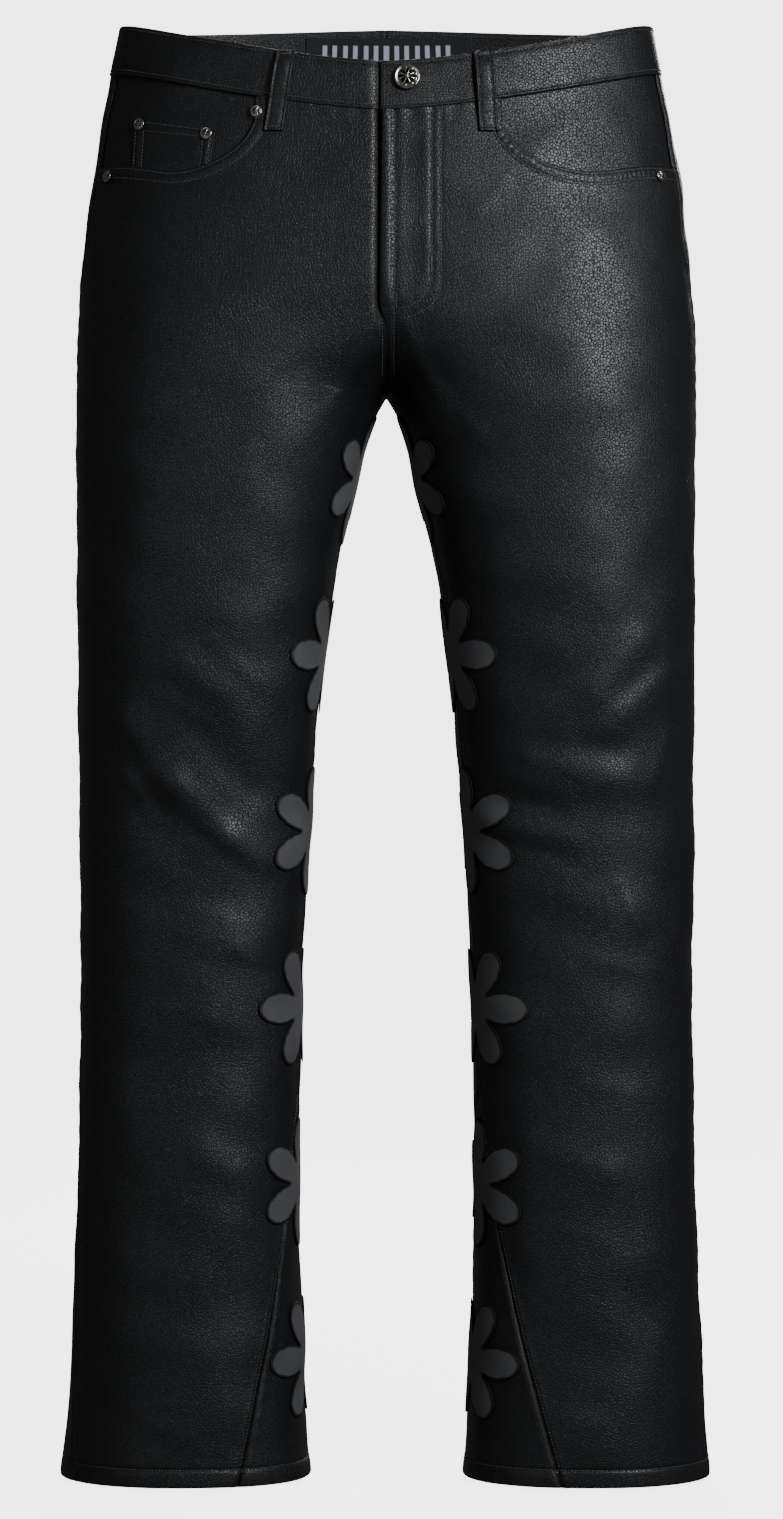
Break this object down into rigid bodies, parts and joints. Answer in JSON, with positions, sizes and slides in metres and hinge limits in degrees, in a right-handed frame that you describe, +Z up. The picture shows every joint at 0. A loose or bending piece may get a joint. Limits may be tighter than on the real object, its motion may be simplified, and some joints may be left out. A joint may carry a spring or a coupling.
{
  "type": "leather trousers",
  "caption": "Black leather five-pocket trousers with a slight flare, filled out upright, with grey leather flowers down the inseams.",
  "frame": {"origin": "centre of the waist opening, level with the top of the waistband at the sides", "axes": "+Z up along the legs to the waist, -Y towards the front, +X towards the wearer's left"},
  "size_m": [0.4938, 0.2015, 1.1107],
  "materials": {
    "black_leather": "pebble-grained, semi-gloss",
    "grey_leather": "fine-grained, matte",
    "bright_metal": "polished, slightly warm",
    "woven_label": "satin woven tape"
  },
  "bodies": {
    "root": {"front_right": "black_leather", "front_left": "black_leather", "back_right": "black_leather", "back_left": "black_leather", "gusset_right": "black_leather", "gusset_left": "black_leather", "waistband_right": "black_leather", "waistband_left": "black_leather", "pocket_bearer_right": "black_leather", "pocket_bearer_left": "black_leather", "watch_pocket": "black_leather", "belt_loop_front_right": "black_leather", "belt_loop_front_left": "black_leather", "belt_loop_side_right": "black_leather", "belt_loop_side_left": "black_leather", "belt_loop_back": "black_leather", "flower_right_1": "grey_leather", "flower_right_2": "grey_leather", "flower_right_3": "grey_leather", "flower_right_4": "grey_leather", "flower_right_5": "grey_leather", "flower_right_6": "grey_leather", "flower_left_1": "grey_leather", "flower_left_2": "grey_leather", "flower_left_3": "grey_leather", "flower_left_4": "grey_leather", "flower_left_5": "grey_leather", "flower_left_6": "grey_leather", "rivet_watch_in": "bright_metal", "rivet_watch_out": "bright_metal", "rivet_pocket_right": "bright_metal", "rivet_side_right": "bright_metal", "rivet_side_left": "bright_metal", "button": "bright_metal", "label": "woven_label"}
  },
  "joints": []
}
